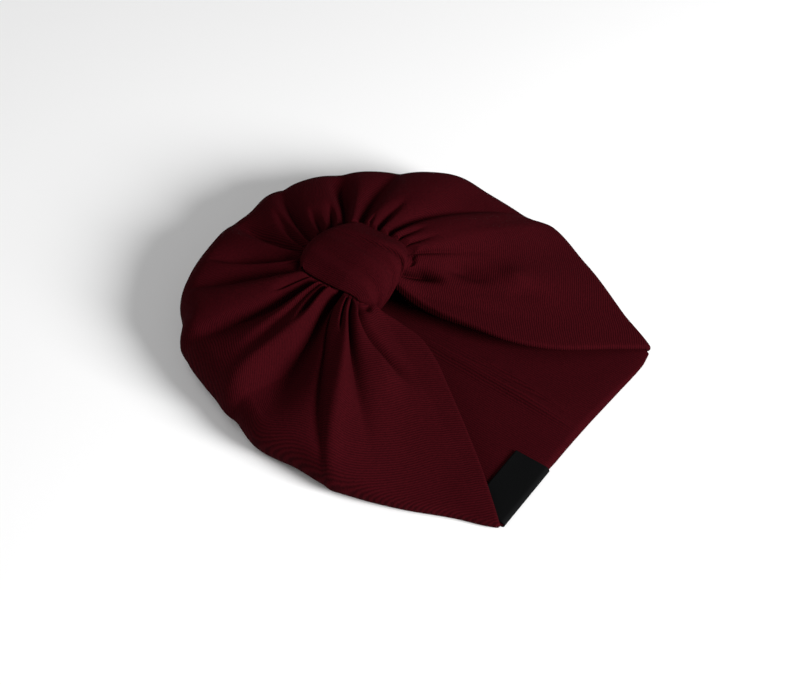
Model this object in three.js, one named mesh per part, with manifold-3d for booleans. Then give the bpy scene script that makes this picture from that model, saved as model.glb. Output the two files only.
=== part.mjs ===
// A turban headwrap of doubled rib knit, laid flat on a table with its knot upwards.
// The cap is one bag of cloth. Its back lies on the table and ends in a straight rim. Its front is
// gathered into a bundle, and a wing runs from each side of the bundle down to a tip of the rim.
// A wide band is wrapped over the bundle, round its front and back below it. A blank woven tab is
// folded over the rim. Millimetres, +Z up, +Y from the rim to the crown, +X to the right tip, and
// the origin on the table below the middle of the cap.
import * as THREE from "three";
import { mergeVertices } from "three/addons/utils/BufferGeometryUtils.js";
import Module from "manifold-3d";

// Driving dimensions
const RIM_WIDTH = 168; // back rim, tip to tip
const RIM_SHIFT = 2; // the rim's middle lies this far to the right of the cap's
const RIM_BOW = 4; // how far the right half of the rim sags out of a straight line
const CROWN_WIDTH = 247; // the width that the outline's reaches are shares of
const CROWN_DEPTH = 272; // rim to the far edge of the crown
const KNOT_SETBACK = 165; // rim to the middle of the bundle
const KNOT_SHIFT = 3; // the bundle lies this far to the right of the cap's middle
const KNOT_HEIGHT = 54; // top of the band above the table
const CLOTH = 2.4; // two layers of knit
const BUNDLE = 17; // thickness of the gathered cloth below the band
const FOLD_DEPTH = 12; // deepest fold
const EDGE_RADIUS = 13; // round of the crown's edge where the front turns into the back
const TIP_RADIUS = 3.2; // round of the folded edge at the two tips
const WING_ROLL = 5; // thickness of the wings' rolled edges
const RIM_ROLL = 3.4; // thickness of the rolled back rim
const RIM_EASE = 7; // how far in from the rim its roll thins out
const CREASE_HEIGHT = 6; // soft crease along the inside of the back
const CREASE_WIDTH = 6; // of that crease, at 1 / e of its height
const BAND_WIDTH = 52; // at its widest, on top
const BAND_THICKNESS = 4.6;
const BAND_ARCH = 7; // the band's sides hang this far below its middle
const BAND_REACH = 35; // middle of the bundle to the band's end in the crown
const BAND_FRONT = 20; // middle of the bundle to the band's front roll
const BAND_DROP = 34; // top of the band to the stretch below the bundle
const BAND_SLANT = 9; // the left corner of the band's end in the crown lies this far beyond the right
const BAND_ROUND = 8; // that end's middle lies this far beyond its corners
const TAB_LENGTH = 48; // along the rim
const TAB_LEAF = 23; // from the rim inwards
const TAB_THICKNESS = 0.7;
const TAB_FROM_TIP = 3; // end of the tab to the left tip
const TAB_EASE = 9; // the cloth comes down to the table this far beside the tab
const GAP = 0.3; // between pieces that touch
const NOSE = 0.6; // half the height of the closing strip at a cloth edge

// The cap's edge seen from above. turn runs round it from the right tip, 0, to the left tip, 1.
// reach is the distance from the bundle, where 1 is half the crown's width or depth.
const OUTLINE = [
  { turn: 0.03, reach: 1.28 },
  { turn: 0.08, reach: 1.19 },
  { turn: 0.12, reach: 1.15 },
  { turn: 0.135, reach: 1.08 },
  { turn: 0.15, reach: 1.05 },
  { turn: 0.18, reach: 1.02 },
  { turn: 0.21, reach: 1 },
  { turn: 0.24, reach: 0.93 },
  { turn: 0.27, reach: 0.87 },
  { turn: 0.33, reach: 0.81 },
  { turn: 0.39, reach: 0.79 },
  { turn: 0.45, reach: 0.78 },
  { turn: 0.49, reach: 0.75 },
  { turn: 0.53, reach: 0.78 },
  { turn: 0.57, reach: 0.81 },
  { turn: 0.61, reach: 0.86 },
  { turn: 0.64, reach: 0.9 },
  { turn: 0.67, reach: 0.9 },
  { turn: 0.7, reach: 0.96 },
  { turn: 0.74, reach: 0.95 },
  { turn: 0.78, reach: 0.97 },
  { turn: 0.82, reach: 1.06 },
  { turn: 0.86, reach: 1.07 },
  { turn: 0.9, reach: 1.14 },
  { turn: 0.94, reach: 1.2 },
  { turn: 0.975, reach: 1.28 },
];

// The rim's line from the left tip, 0, to the right tip, 1, as shares of RIM_BOW outwards.
const RIM_LINE = [
  { across: 0, out: 0 },
  { across: 0.35, out: 0 },
  { across: 0.55, out: 0.2 },
  { across: 0.75, out: 0.65 },
  { across: 0.93, out: 1 },
  { across: 1, out: 0.6 },
];

// How the front rises from the edge to the bundle. knot is the height that the rise heads for as a
// share of the bundle's, round the share of EDGE_RADIUS above that at the tips, and bow and
// fullness shape the rise: 1 and 1 is a straight slope, more and less is a full dome.
const RISE = [
  { turn: 0, knot: 0.6, round: 0, bow: 1, fullness: 1 },
  { turn: 0.07, knot: 0.8, round: 0.2, bow: 1.3, fullness: 0.95 },
  { turn: 0.15, knot: 0.96, round: 0.6, bow: 1.9, fullness: 0.75 },
  { turn: 0.24, knot: 1, round: 1, bow: 2.3, fullness: 0.6 },
  { turn: 0.5, knot: 1, round: 1, bow: 2.4, fullness: 0.55 },
  { turn: 0.76, knot: 1, round: 1, bow: 2.3, fullness: 0.6 },
  { turn: 0.85, knot: 1, round: 0.8, bow: 2.3, fullness: 0.62 },
  { turn: 0.9, knot: 0.95, round: 0.5, bow: 1.9, fullness: 0.72 },
  { turn: 0.95, knot: 0.84, round: 0.15, bow: 1.3, fullness: 0.93 },
  { turn: 1, knot: 0.74, round: 0, bow: 1, fullness: 1 },
];

// How far the wings' edges swing over the mouth, in turns, from the bundle, 0, to the tip, 1.
const WING_EDGES = [
  { along: 0, right: 0.007, left: -0.034 },
  { along: 0.12, right: 0, left: -0.027 },
  { along: 0.2, right: -0.02, left: 0.032 },
  { along: 0.28, right: -0.034, left: 0.054 },
  { along: 0.36, right: -0.036, left: 0.05 },
  { along: 0.5, right: -0.039, left: 0.032 },
  { along: 0.64, right: -0.031, left: 0.02 },
  { along: 0.84, right: -0.011, left: 0.008 },
  { along: 1, right: 0, left: 0 },
];

// The folds, in order round the bundle. near, mid and far are the turns where the furrow leaves the
// band, passes half way and meets the edge. depth is a share of FOLD_DEPTH. root is what it keeps
// of its depth at the band, peak and end are where it is deepest and where it dies out, and low and
// high are its spreads in turns on its two sides.
const FOLDS = [
  { near: 0.052, mid: 0.04, far: 0.03, depth: 1, root: 0.7, peak: 0.25, end: 0.34, low: 0.01, high: 0.014 },
  { near: 0.114, mid: 0.097, far: 0.086, depth: 0.38, root: 1, peak: 0.25, end: 0.62, low: 0.006, high: 0.006 },
  { near: 0.146, mid: 0.134, far: 0.106, depth: 0.42, root: 1, peak: 0.24, end: 0.46, low: 0.007, high: 0.008 },
  { near: 0.179, mid: 0.16, far: 0.123, depth: 0.42, root: 1, peak: 0.24, end: 0.46, low: 0.007, high: 0.008 },
  { near: 0.215, mid: 0.188, far: 0.138, depth: 0.66, root: 0.9, peak: 0.34, end: 1.1, low: 0.007, high: 0.02 },
  { near: 0.264, mid: 0.244, far: 0.214, depth: 0.62, root: 0.9, peak: 0.34, end: 0.64, low: 0.009, high: 0.012 },
  { near: 0.3, mid: 0.276, far: 0.242, depth: 0.3, root: 1, peak: 0.3, end: 0.5, low: 0.008, high: 0.008 },
  { near: 0.336, mid: 0.302, far: 0.268, depth: 0.75, root: 0.8, peak: 0.5, end: 1.15, low: 0.012, high: 0.016 },
  { near: 0.382, mid: 0.355, far: 0.342, depth: 0.9, root: 0.9, peak: 0.6, end: 1.02, low: 0.011, high: 0.013 },
  { near: 0.44, mid: 0.391, far: 0.372, depth: 0.62, root: 0.9, peak: 0.4, end: 0.68, low: 0.009, high: 0.009 },
  { near: 0.47, mid: 0.436, far: 0.405, depth: 0.55, root: 0.9, peak: 0.4, end: 0.64, low: 0.009, high: 0.008 },
  { near: 0.525, mid: 0.48, far: 0.42, depth: 0.85, root: 0.8, peak: 0.55, end: 1.1, low: 0.012, high: 0.011 },
  { near: 0.55, mid: 0.514, far: 0.446, depth: 0.68, root: 0.8, peak: 0.5, end: 0.85, low: 0.01, high: 0.009 },
  { near: 0.561, mid: 0.547, far: 0.518, depth: 1.05, root: 0.7, peak: 0.66, end: 1.02, low: 0.016, high: 0.009 },
  { near: 0.58, mid: 0.594, far: 0.598, depth: 1.05, root: 0.6, peak: 0.62, end: 0.98, low: 0.02, high: 0.009 },
  { near: 0.597, mid: 0.612, far: 0.616, depth: 0.35, root: 1, peak: 0.4, end: 0.6, low: 0.006, high: 0.007 },
  { near: 0.634, mid: 0.637, far: 0.641, depth: 1.05, root: 0.8, peak: 0.6, end: 1.1, low: 0.024, high: 0.011 },
  { near: 0.674, mid: 0.691, far: 0.694, depth: 0.5, root: 1, peak: 0.4, end: 0.54, low: 0.008, high: 0.007 },
  { near: 0.697, mid: 0.715, far: 0.709, depth: 1.1, root: 0.8, peak: 0.6, end: 1.15, low: 0.014, high: 0.015 },
  { near: 0.728, mid: 0.754, far: 0.762, depth: 0.5, root: 0.5, peak: 0.56, end: 0.9, low: 0.01, high: 0.018 },
  { near: 0.75, mid: 0.776, far: 0.775, depth: 0.66, root: 0.9, peak: 0.34, end: 0.56, low: 0.01, high: 0.01 },
  { near: 0.789, mid: 0.806, far: 0.792, depth: 1.6, root: 0.8, peak: 0.62, end: 1.12, low: 0.007, high: 0.048 },
  { near: 0.816, mid: 0.856, far: 0.884, depth: 0.95, root: 0.8, peak: 0.6, end: 1.15, low: 0.01, high: 0.005 },
  { near: 0.86, mid: 0.881, far: 0.896, depth: 0.6, root: 1, peak: 0.32, end: 0.42, low: 0.007, high: 0.008 },
  { near: 0.888, mid: 0.911, far: 0.925, depth: 0.8, root: 0.8, peak: 0.45, end: 0.95, low: 0.014, high: 0.011 },
  { near: 0.922, mid: 0.985, far: 0.98, depth: 0.75, root: 0.8, peak: 0.34, end: 0.5, low: 0.01, high: 0.012 },
];

// Broad swells and hollows of the wings, as shares of FOLD_DEPTH, with their spreads.
const SWELLS = [
  { turn: 0.055, along: 0.62, height: 0.26, wide: 0.02, long: 0.09 },
  { turn: 0.057, along: 0.74, height: 0.16, wide: 0.03, long: 0.14 },
  { turn: 0.1, along: 0.88, height: -0.14, wide: 0.03, long: 0.14 },
  { turn: 0.068, along: 0.43, height: -0.45, wide: 0.017, long: 0.07 },
  { turn: 0.135, along: 0.5, height: 0.22, wide: 0.03, long: 0.26 },
  { turn: 0.183, along: 0.8, height: -0.22, wide: 0.03, long: 0.2 },
  { turn: 0.35, along: 0.72, height: -0.4, wide: 0.014, long: 0.14 },
  { turn: 0.78, along: 0.8, height: 0.26, wide: 0.012, long: 0.24 },
  { turn: 0.822, along: 0.74, height: -0.28, wide: 0.024, long: 0.24 },
  { turn: 0.886, along: 0.68, height: 0.5, wide: 0.013, long: 0.32 },
  { turn: 0.95, along: 0.45, height: 0.3, wide: 0.02, long: 0.1 },
];

// The band from its end in the crown, over the top, round the front and back below the bundle.
// along is a share of BAND_REACH behind the bundle's middle and of BAND_FRONT before it, down a
// share of BAND_DROP, width and shift to the right shares of BAND_WIDTH, arch a share of BAND_ARCH.
const BAND_PATH = [
  { along: 0.81, down: 0.24, width: 0.97, shift: 0.06, arch: 0.35 },
  { along: 0.79, down: 0.12, width: 1, shift: 0.06, arch: 0.45 },
  { along: 0.7, down: 0.05, width: 1.04, shift: 0.06, arch: 0.7 },
  { along: 0.4, down: 0, width: 1.05, shift: 0.07, arch: 1 },
  { along: -0.1, down: 0, width: 1.05, shift: 0.09, arch: 1 },
  { along: -0.6, down: 0.08, width: 1.02, shift: 0.11, arch: 0.9 },
  { along: -0.94, down: 0.24, width: 0.94, shift: 0.08, arch: 0.75 },
  { along: -1.02, down: 0.46, width: 0.64, shift: -0.02, arch: 0.5 },
  { along: -0.86, down: 0.76, width: 0.28, shift: -0.16, arch: 0.2 },
  { along: -0.5, down: 0.96, width: 0.3, shift: -0.12, arch: 0.1 },
  { along: 0.1, down: 1, width: 0.3, shift: -0.06, arch: 0.1 },
];

// Grid of the cap's two faces and of the band
const STEPS_PER_FOLD = 4;
const TOP_ROWS = 18;
const CURL_ROWS = 4;
const BACK_ROWS = 6;
const EDGE_COLUMNS = [0.05, 0.11]; // extra columns beside each wing's edge
const ROW_CROWDING = 1.5; // rows lie closer together towards the edge
const BAND_ROWS = 26;
const BAND_COLUMNS = 8;
const TOP_STEPS = 16; // steps of the band's line over the bundle
const WAY_STEP = 0.002; // step of a row or turn for finding the way along the cloth
const WELD = 1e-4; // corners closer together than this are one

// Shape of the cloth, where shares without a name of their own are of the way from bundle to edge
const KNOT_EASE = 0.25; // share over which the wings come down from the bundle's height
const OPEN_FROM = 0.12; // share at which the bundle starts to thin out into a sheet
const OPEN_OVER = 0.42; // and the share that it takes
const CLEAR_FROM = 0.3; // the wings' edges start this far out, in thicknesses of the bundle
const ROLL_REACH = 3; // a rolled edge thins out within this many of its thicknesses
const CREASE_RIM_FADE = 40; // the crease fades in over this distance from the rim
const CREASE_CROWN_FADE = 60; // and out over this distance towards the crown
const CREASE_END = 20; // ending this far behind the bundle's middle
const FURROW_ROOT = 0.6; // how much narrower the furrows are beside the band
const WIDEN_FROM = 0.15; // share at which they start to widen
const WIDEN_OVER = 0.45; // and the share that it takes
const FURROW_FLOOR = 0.3; // the round of a furrow's floor, in spreads
const FURROW_BLEND = 3; // furrows side by side run together the less, the larger this is
const FRONT_PRESS_SLOPE = 0.7; // how steeply the gathered cloth rises beside the band's front
const CROWN_PRESS_SLOPE = 2.2; // and beside its end in the crown
const PRESS_ROUND = 0.06; // how fast that rise gets steeper, per millimetre
const TOP_SHARE = 0.62; // the share of the band's length that lies over the bundle
const END_SHARE = 0.4; // the share of the band's length over which its end's slant and round fade
const BAND_FLATNESS = 5; // how flat the band stays towards its sides

const FULL_TURN = 2 * Math.PI;
const HALF_WIDTH = CROWN_WIDTH / 2;
const HALF_DEPTH = CROWN_DEPTH / 2;
const BUNDLE_TOP = KNOT_HEIGHT - BAND_THICKNESS - 2 * GAP;
const KNOT = new THREE.Vector2(KNOT_SHIFT, KNOT_SETBACK - HALF_DEPTH);
const TAB_MIDDLE = RIM_SHIFT - RIM_WIDTH / 2 + TAB_FROM_TIP + TAB_LENGTH / 2;

const clamp = THREE.MathUtils.clamp;
const lerp = THREE.MathUtils.lerp;

function smooth(share) {
  const x = clamp(share, 0, 1);
  return x * x * (3 - 2 * x);
}

// A smooth curve through one column of a table, at a value of its first column.
function through(rows, key, column, at) {
  const last = rows.length - 1;
  if (at <= rows[0][key]) return rows[0][column];
  if (at >= rows[last][key]) return rows[last][column];
  let i = 0;
  while (at > rows[i + 1][key]) i += 1;
  const slope = (k) => {
    const a = rows[Math.max(k - 1, 0)];
    const b = rows[Math.min(k + 1, last)];
    return (b[column] - a[column]) / (b[key] - a[key]);
  };
  const span = rows[i + 1][key] - rows[i][key];
  const x = (at - rows[i][key]) / span;
  const rise = rows[i + 1][column] - rows[i][column];
  const bend = slope(i) * span * x * (1 - x) ** 2 - slope(i + 1) * span * x * x * (1 - x);
  return rows[i][column] + rise * smooth(x) + bend;
}

function rimOut(across) {
  return RIM_BOW * through(RIM_LINE, "across", "out", across);
}

// The tips as an angle round the bundle, from the way to the mouth, and a reach.
function tip(side) {
  const across = (RIM_SHIFT + (side * RIM_WIDTH) / 2 - KNOT_SHIFT) / HALF_WIDTH;
  const back = (KNOT_SETBACK + rimOut((1 + side) / 2)) / HALF_DEPTH;
  const angle = Math.atan2(across, back);
  return { angle: side > 0 ? angle : angle + FULL_TURN, reach: Math.hypot(across, back) };
}
const RIGHT_TIP = tip(1);
const LEFT_TIP = tip(-1);
const TURN_ANGLE = LEFT_TIP.angle - RIGHT_TIP.angle;
const EDGE = [{ turn: 0, reach: RIGHT_TIP.reach }, ...OUTLINE, { turn: 1, reach: LEFT_TIP.reach }];

// The furrows' courses, with the wings' edges before and after them.
const LEVELS = ["near", "mid", "far"].map((name, i) => ({ name, along: [0.25, 0.5, 1][i] }));
function course(fold, along) {
  const rows = LEVELS.map((level) => ({ along: level.along, turn: fold[level.name] }));
  return through(rows, "along", "turn", along);
}
const rightEdge = (along) => through(WING_EDGES, "along", "right", along);
const leftEdge = (along) => 1 + through(WING_EDGES, "along", "left", along);

// The turn of grid line number line, which follows furrow number line.
function lineTurn(line, along) {
  const at = (k) => {
    if (k <= 0) return rightEdge(along);
    if (k > FOLDS.length) return leftEdge(along);
    return course(FOLDS[k - 1], along);
  };
  const k = Math.min(Math.floor(line), FOLDS.length);
  return lerp(at(k), at(k + 1), line - k);
}

function planRadius(turn) {
  return through(EDGE, "turn", "reach", clamp(turn, 0, 1));
}

function plan(turn, along) {
  const angle = RIGHT_TIP.angle + turn * TURN_ANGLE;
  const reach = along * planRadius(turn);
  return new THREE.Vector2(
    KNOT.x + reach * HALF_WIDTH * Math.sin(angle),
    KNOT.y - reach * HALF_DEPTH * Math.cos(angle),
  );
}

function roundAt(turn) {
  return TIP_RADIUS + (EDGE_RADIUS - TIP_RADIUS) * through(RISE, "turn", "round", turn);
}

// The front without its folds, at a share of the way from the bundle to the edge.
function frontPoint(turn, along) {
  const p = plan(turn, along);
  const round = roundAt(turn);
  const inset = p.distanceTo(plan(turn, 1));
  const lip = Math.sqrt(1 - (1 - Math.min(inset / round, 1)) ** 2);
  const bow = through(RISE, "turn", "bow", turn);
  const fullness = through(RISE, "turn", "fullness", turn);
  const share = lerp(1, through(RISE, "turn", "knot", turn), smooth(along / KNOT_EASE));
  const body = (BUNDLE_TOP * share - 2 * round) * Math.max(1 - along ** bow, 0) ** fullness;
  return new THREE.Vector3(p.x, p.y, round + round * lip + body);
}

// The edge from its widest line down and in to the table, at a share of that quarter round.
function curlPoint(turn, share) {
  const p = plan(turn, 1);
  const round = roundAt(turn);
  const inset = round * (1 - Math.cos((share * Math.PI) / 2));
  const inwards = KNOT.clone().sub(p).normalize();
  p.addScaledVector(inwards, inset);
  return new THREE.Vector3(p.x, p.y, round * (1 - Math.sin((share * Math.PI) / 2)));
}

// The furrows and swells of the front: how far its outer face lies below or above the dome.
function foldHeight(turn, along) {
  const width = lerp(FURROW_ROOT, 1, smooth((along - WIDEN_FROM) / WIDEN_OVER));
  let furrows = 0;
  for (const fold of FOLDS) {
    const off = turn - course(fold, along);
    const spread = width * (off < 0 ? fold.low : fold.high);
    const x = Math.abs(off) / spread;
    const across = Math.exp(FURROW_FLOOR - Math.hypot(x, FURROW_FLOOR));
    const fade =
      along < fold.peak
        ? lerp(fold.root, 1, smooth(along / fold.peak))
        : 1 - smooth((along - fold.peak) / (fold.end - fold.peak));
    furrows += (fold.depth * fade * across) ** FURROW_BLEND;
  }
  let height = -(furrows ** (1 / FURROW_BLEND));
  for (const swell of SWELLS) {
    const x = (turn - swell.turn) / swell.wide;
    const y = (along - swell.along) / swell.long;
    height += swell.height * Math.exp(-x * x - y * y);
  }
  return height * FOLD_DEPTH;
}

// The round of a cloth edge: 1 at the edge and 0 from one radius inwards.
function edgeRound(inset, radius) {
  const x = 1 - clamp(inset / radius, 0, 1);
  return 1 - Math.sqrt(1 - x * x);
}

// The share of the way from the bundle to the edge at a share of the front's rows.
function alongOf(rows) {
  return 1 - (1 - rows) ** ROW_CROWDING;
}

// One place on the cap's sheet of cloth: its outer face, inner face or both folds and edges in.
// stage 0 to 1 is the front, 1 to 2 the curl round the edge, 2 to 3 the back.
function clothPoint(line, stage, face) {
  const half = (FOLDS.length + 1) / 2;
  const along = alongOf(Math.min(stage, 1));
  const turn = lineTurn(line, along);
  const base = (t, s) => {
    if (s <= 1) return frontPoint(t, alongOf(s));
    return curlPoint(t, Math.min(s - 1, 1));
  };
  const edgeTurn = line < half ? turn - rightEdge(along) : leftEdge(along) - turn;
  const fromKnot = plan(turn, along).distanceTo(KNOT);
  const onFront = fromKnot * edgeTurn * TURN_ANGLE;
  if (stage <= 2) {
    const point = base(turn, stage);
    const acrossWay = base(turn + WAY_STEP, stage).sub(base(turn - WAY_STEP, stage));
    const ahead = stage < 1 ? Math.min(stage + WAY_STEP, 1) : stage;
    const alongWay = base(turn, ahead).sub(base(turn, Math.max(stage - WAY_STEP, 0)));
    const out = new THREE.Vector3().crossVectors(alongWay, acrossWay).normalize();
    if (stage === 0) out.set(0, 0, 1);
    const open = smooth((along - OPEN_FROM) / OPEN_OVER);
    const curl = stage > 1 ? Math.cos(((stage - 1) * Math.PI) / 2) ** 2 : 1;
    const fold = stage > 0 ? foldHeight(turn, along) * curl : 0;
    const roll = edgeRound(onFront, ROLL_REACH * WING_ROLL);
    const thick = lerp(CLOTH, BUNDLE, 1 - open) + (WING_ROLL - CLOTH) * roll * open * curl;
    const clear = smooth(fromKnot / BUNDLE - CLEAR_FROM);
    const halfEdge = Math.min(thick, WING_ROLL) / 2;
    const closing = edgeRound(onFront, thick / 2) * clear;
    const outerShift = fold - edgeRound(onFront, halfEdge) * (halfEdge - NOSE) * clear;
    const innerFold = fold * lerp(open, 1, closing);
    const innerShift = innerFold - thick + closing * (thick - halfEdge - NOSE);
    const press = stage <= 1 ? pressUnderBand(point.clone().addScaledVector(out, outerShift)) : 0;
    point.addScaledVector(out, face === "outer" ? outerShift : innerShift);
    point.z -= press;
    return liftOffTab(point);
  }
  return liftOffTab(backPoint(turn, stage - 2, face, onFront));
}

// The back from the curl's foot to the rim: flat on the table, with a crease on its inner face.
function backPoint(turn, share, face, inset) {
  const foot = curlPoint(turn, 1);
  const across = 1 - clamp(turn, 0, 1);
  const rimX = RIM_SHIFT + (across - 0.5) * (RIM_WIDTH - 2 * TIP_RADIUS);
  const rim = new THREE.Vector3(rimX, -HALF_DEPTH - rimOut(across), 0);
  const point = foot.lerp(rim, 1 - (1 - share) ** 2);
  const toRim = point.y - rim.y;
  const roll = edgeRound(toRim, ROLL_REACH * RIM_ROLL);
  const off = (point.x - KNOT.x - CREASE_WIDTH / 2) / (CREASE_WIDTH / 2);
  const toEnd = KNOT.y + CREASE_END - point.y;
  const fade = smooth(toRim / CREASE_RIM_FADE) * smooth(toEnd / CREASE_CROWN_FADE);
  const crease = CREASE_HEIGHT * Math.exp(-off * off) * fade;
  const eased = (1 - smooth(toRim / RIM_EASE)) ** 2 * (face === "inner" ? 1 : 0);
  const thick = CLOTH + (RIM_ROLL - CLOTH) * (roll - eased) + crease;
  const nip = Math.max(edgeRound(toRim, RIM_ROLL / 2), edgeRound(inset, WING_ROLL / 2));
  const lift = nip * (thick / 2 - NOSE);
  point.z = face === "outer" ? lift : thick - lift;
  return point;
}

// A grid of one face of the cap, as rows of vertices from the bundle to the rim.
function clothGrid(face, lines, stages) {
  return stages.map((stage) => lines.map((line) => clothPoint(line, stage, face)));
}

function stagesOf(topRows, curlRows, backRows) {
  const stages = [];
  for (let i = 0; i < topRows; i += 1) stages.push(i / topRows);
  for (let i = 0; i < curlRows; i += 1) stages.push(1 + i / curlRows);
  for (let i = 0; i <= backRows; i += 1) stages.push(2 + i / backRows);
  return stages;
}

function linesOf(stepsPerFold) {
  const folds = FOLDS.length + 1;
  const lines = [];
  for (let i = 0; i <= folds * stepsPerFold; i += 1) lines.push(i / stepsPerFold);
  if (stepsPerFold === STEPS_PER_FOLD) {
    lines.push(...EDGE_COLUMNS, ...EDGE_COLUMNS.map((x) => folds - x));
  } else {
    lines.push(EDGE_COLUMNS[1], folds - EDGE_COLUMNS[1]);
  }
  return lines.sort((a, b) => a - b);
}

// Collects triangles and turns them into a closed geometry.
class Shell {
  constructor() {
    this.corners = [];
  }

  triangle(a, b, c) {
    for (const p of [a, b, c]) this.corners.push(p.x, p.y, p.z);
  }

  quad(a, b, c, d) {
    this.triangle(a, b, c);
    this.triangle(a, c, d);
  }

  // A band of triangles between two lines of points that may differ in number.
  zip(first, second) {
    let i = 0;
    let j = 0;
    while (i < first.length - 1 || j < second.length - 1) {
      const next = (i + 1) / (first.length - 1);
      const other = (j + 1) / (second.length - 1);
      if (j === second.length - 1 || (i < first.length - 1 && next <= other)) {
        this.triangle(first[i], first[i + 1], second[j]);
        i += 1;
      } else {
        this.triangle(first[i], second[j + 1], second[j]);
        j += 1;
      }
    }
  }

  geometry() {
    const made = new THREE.BufferGeometry();
    made.setAttribute("position", new THREE.Float32BufferAttribute(this.corners, 3));
    return mergeVertices(made, WELD);
  }
}

function capGeometry() {
  const shell = new Shell();
  const fineStages = stagesOf(TOP_ROWS, CURL_ROWS, BACK_ROWS);
  const coarseStages = stagesOf(TOP_ROWS / 2, CURL_ROWS / 2, BACK_ROWS / 2);
  const outer = clothGrid("outer", linesOf(STEPS_PER_FOLD), fineStages);
  const inner = clothGrid("inner", linesOf(STEPS_PER_FOLD / 2), coarseStages);
  const face = (grid, flip) => {
    for (let r = 0; r < grid.length - 1; r += 1) {
      for (let c = 0; c < grid[r].length - 1; c += 1) {
        const [a, b] = [grid[r][c], grid[r][c + 1]];
        const [d, e] = [grid[r + 1][c], grid[r + 1][c + 1]];
        if (r === 0) shell.triangle(...(flip ? [a, e, d] : [a, d, e]));
        else shell.quad(...(flip ? [a, b, e, d] : [a, d, e, b]));
      }
    }
  };
  face(outer, false);
  face(inner, true);
  const column = (grid, last) => grid.map((row) => row[last ? row.length - 1 : 0]);
  shell.zip(column(inner, false), column(outer, false));
  shell.zip(column(outer, true), column(inner, true));
  shell.zip(inner.at(-1), outer.at(-1));
  return shell.geometry();
}

// The band's centre line and its way outwards, in the plane of the hat's middle.
function bandFrame(share) {
  const rows = BAND_PATH.map((row, i) => ({ ...row, share: i / (BAND_PATH.length - 1) }));
  const at = (s) => {
    const along = through(rows, "share", "along", s);
    const y = KNOT.y + along * (along > 0 ? BAND_REACH : BAND_FRONT);
    const z = KNOT_HEIGHT - BAND_THICKNESS / 2 - through(rows, "share", "down", s) * BAND_DROP;
    return new THREE.Vector3(KNOT.x + through(rows, "share", "shift", s) * BAND_WIDTH, y, z);
  };
  const way = at(Math.min(share + 0.01, 1)).sub(at(Math.max(share - 0.01, 0))).setX(0).normalize();
  return {
    centre: at(share),
    way,
    out: new THREE.Vector3(0, way.z, -way.y).normalize(),
    half: (through(rows, "share", "width", share) * BAND_WIDTH) / 2,
    arch: through(rows, "share", "arch", share) * BAND_ARCH,
  };
}

// The part of the band over the bundle, from its front to its end in the crown.
const BAND_TOP_LINE = Array.from({ length: TOP_STEPS + 1 }, (_, i) => {
  const { centre, half, arch } = bandFrame((1 - i / TOP_STEPS) * TOP_SHARE);
  return { y: centre.y, x: centre.x, z: centre.z, half, arch };
});

// How far the band's end in the crown lies behind the end of its middle line.
function bandEnd(across) {
  return BAND_ROUND * (1 - across * across) - (BAND_SLANT / 2) * across;
}

// How far a point of the gathered cloth is pressed down to pass below the top of the band. The cloth
// comes up again beside the band.
function pressUnderBand(point) {
  const front = BAND_TOP_LINE[0].y;
  const crown = BAND_TOP_LINE[BAND_TOP_LINE.length - 1].y;
  const at = (key, y) => through(BAND_TOP_LINE, "y", key, y);
  const x = point.x - at("x", point.y);
  const across = clamp(x / at("half", point.y), -1, 1);
  const place = point.y - bandEnd(across) * smooth((point.y - KNOT.y) / BAND_REACH);
  const inside = clamp(place, front, crown);
  const under = at("z", inside) - at("arch", inside) * across * across - BAND_THICKNESS / 2 - GAP;
  const beyond = Math.hypot(Math.max(Math.abs(x) - at("half", inside), 0), place - inside);
  const toCrown = smooth((place - front) / (crown - front));
  const slope = lerp(FRONT_PRESS_SLOPE, CROWN_PRESS_SLOPE, toCrown) + PRESS_ROUND * beyond;
  return Math.max(point.z - under - slope * beyond, 0);
}

function bandGeometry(extra) {
  const shell = new Shell();
  const rings = [];
  for (let i = 0; i <= BAND_ROWS; i += 1) {
    const { centre, way, out, half, arch } = bandFrame(i / BAND_ROWS);
    const atEnd = smooth(1 - i / BAND_ROWS / END_SHARE);
    if (i === 0) centre.addScaledVector(way, -extra);
    if (i === BAND_ROWS) centre.addScaledVector(way, extra);
    const ring = [];
    for (const side of [1, -1]) {
      for (let j = 0; j < BAND_COLUMNS; j += 1) {
        const x = Math.sin(((j / BAND_COLUMNS) * 2 - 1) * (Math.PI / 2)) * side;
        const hump = Math.sqrt(Math.max(1 - Math.abs(x) ** BAND_FLATNESS, 0));
        const lift = (BAND_THICKNESS / 2 + extra) * hump * side - arch * x * x;
        const point = centre.clone().addScaledVector(out, lift);
        point.y += bandEnd((x * (half + extra)) / half) * atEnd;
        point.x += (half + extra) * x;
        ring.push(point);
      }
    }
    rings.push(ring);
  }
  const count = rings[0].length;
  for (let i = 0; i < BAND_ROWS; i += 1) {
    for (let j = 0; j < count; j += 1) {
      const k = (j + 1) % count;
      shell.quad(rings[i][j], rings[i + 1][j], rings[i + 1][k], rings[i][k]);
    }
  }
  const end = (ring, flip) => {
    for (let j = 0; j < BAND_COLUMNS; j += 1) {
      const a = ring[j];
      const b = ring[j + 1];
      const c = ring[(count - j - 1) % count];
      const d = ring[(count - j) % count];
      if (a === d) shell.triangle(...(flip ? [a, b, c] : [a, c, b]));
      else if (b === c) shell.triangle(...(flip ? [a, b, d] : [a, d, b]));
      else shell.quad(...(flip ? [a, b, c, d] : [a, d, c, b]));
    }
  };
  end(rings[0], true);
  end(rings[BAND_ROWS], false);
  return shell.geometry();
}

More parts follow.
